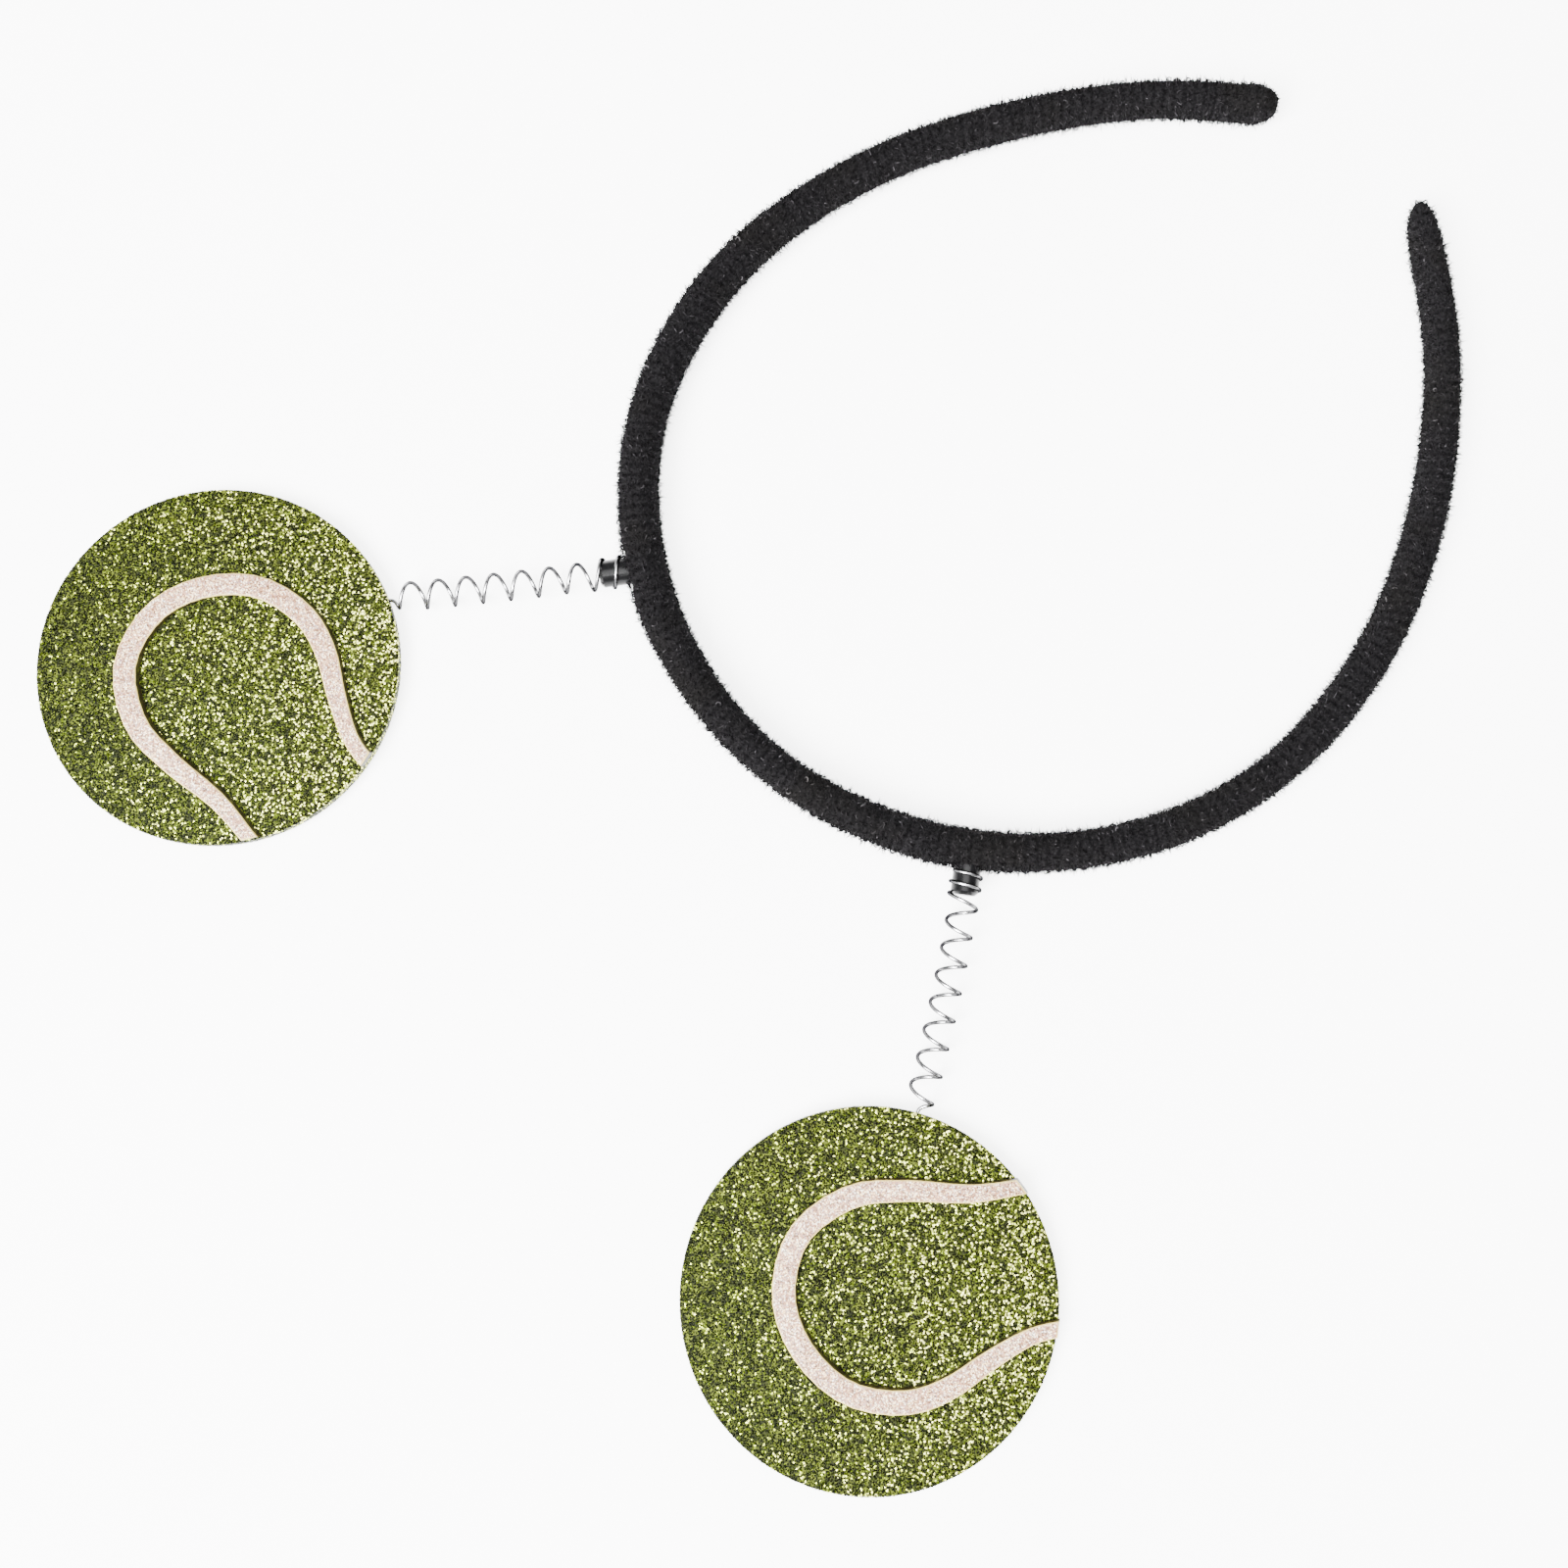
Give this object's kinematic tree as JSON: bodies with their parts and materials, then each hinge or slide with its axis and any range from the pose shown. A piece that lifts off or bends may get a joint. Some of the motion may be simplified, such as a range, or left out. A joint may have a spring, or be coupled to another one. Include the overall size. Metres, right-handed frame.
{
  "type": "head bopper",
  "caption": "Head bopper lying flat: open terry-covered headband with a round glitter disc on a coil spring at each side, each disc marked with a curved ball seam.",
  "frame": {"origin": "on the floor under the middle of the whole outline", "axes": "+Z up from the floor, out of the front of the headpiece; +Y up as worn, from the band's open ends towards the discs; +X towards the wearer's left"},
  "size_m": [0.2082, 0.2308, 0.008],
  "materials": {
    "plastic": "glossy black",
    "terry": "charcoal black terry pile",
    "wire": "bright steel spring wire",
    "green_glitter": "coarse olive and lime glitter on foam sheet",
    "backing_felt": "dark grey-green felt",
    "pearl_glitter": "fine pearl white glitter"
  },
  "bodies": {
    "root": {"band_core": "plastic", "band_sleeve": "terry", "left_spring": "wire", "left_disc": "green_glitter", "left_backing": "backing_felt", "left_seam": "pearl_glitter", "right_spring": "wire", "right_disc": "green_glitter", "right_backing": "backing_felt", "right_seam": "pearl_glitter"}
  },
  "joints": []
}
